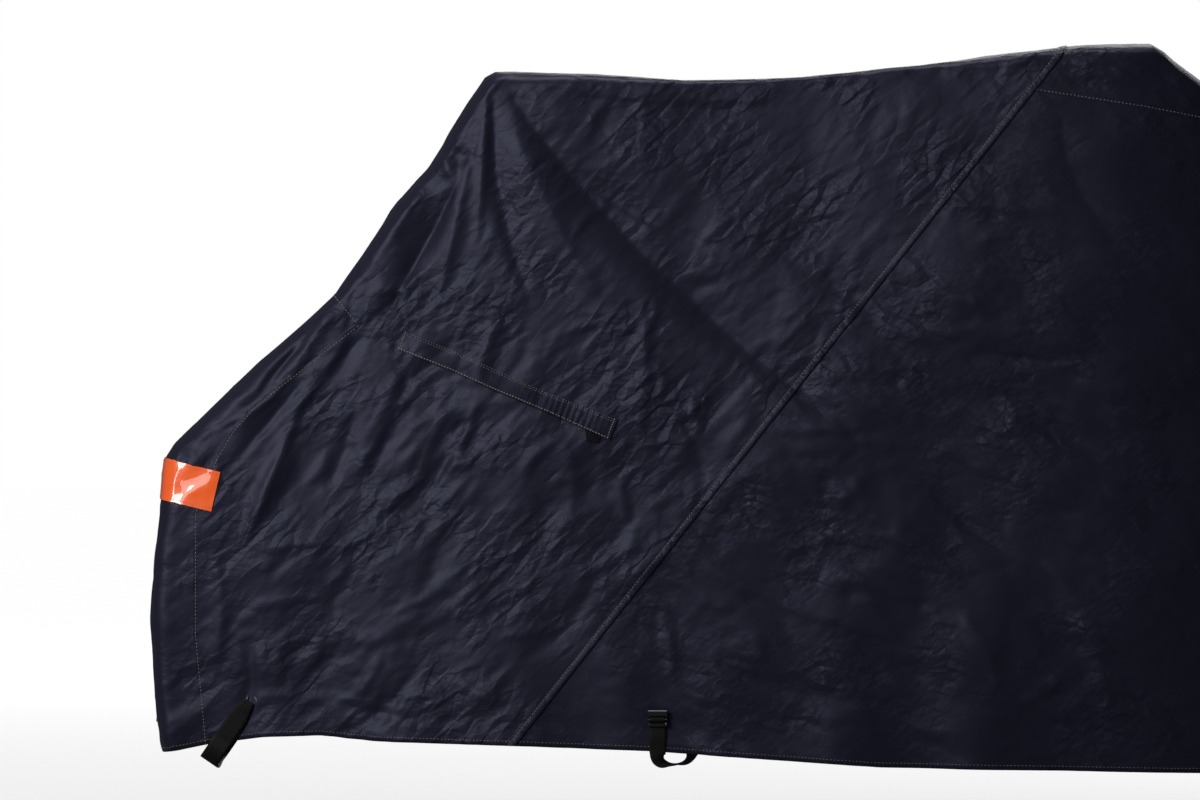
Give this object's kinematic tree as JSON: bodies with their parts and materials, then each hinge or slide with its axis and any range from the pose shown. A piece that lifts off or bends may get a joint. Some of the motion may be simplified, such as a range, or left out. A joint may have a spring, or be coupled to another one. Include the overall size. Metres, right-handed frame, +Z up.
{
  "type": "bicycle cover",
  "caption": "Fitted cover of crumpled nylon, hollow and open below, with a diagonal seam, an orange reflective patch, a vent flap, an eyelet, and hem straps with a slider.",
  "frame": {"origin": "under the top of the cover, at the middle of its length and width, on the inner face of the cloth", "axes": "+Z up, +X from the low rear end with the orange patch towards the front end, -Y towards the side with the vent flap"},
  "size_m": [1.9542, 0.5171, 0.9211],
  "materials": {
    "nylon": "navy coated nylon, crumpled, with a soft sheen",
    "seam": "felled nylon seam with a light thread",
    "reflective_film": "glossy orange reflective film on cloth",
    "webbing": "black polyester webbing",
    "plastic": "black moulded plastic",
    "steel": "nickelled steel"
  },
  "bodies": {
    "root": {"rear_panel": "nylon", "front_panel": "nylon", "top_yoke": "nylon", "rear_gusset": "nylon", "eyelet_strip": "nylon", "diagonal_seam": "seam", "reflective_patch": "reflective_film", "vent_flap": "nylon", "flap_tab": "webbing", "rear_strap": "webbing", "belly_strap": "webbing", "ladder_buckle": "plastic", "eyelet": "steel"}
  },
  "joints": []
}
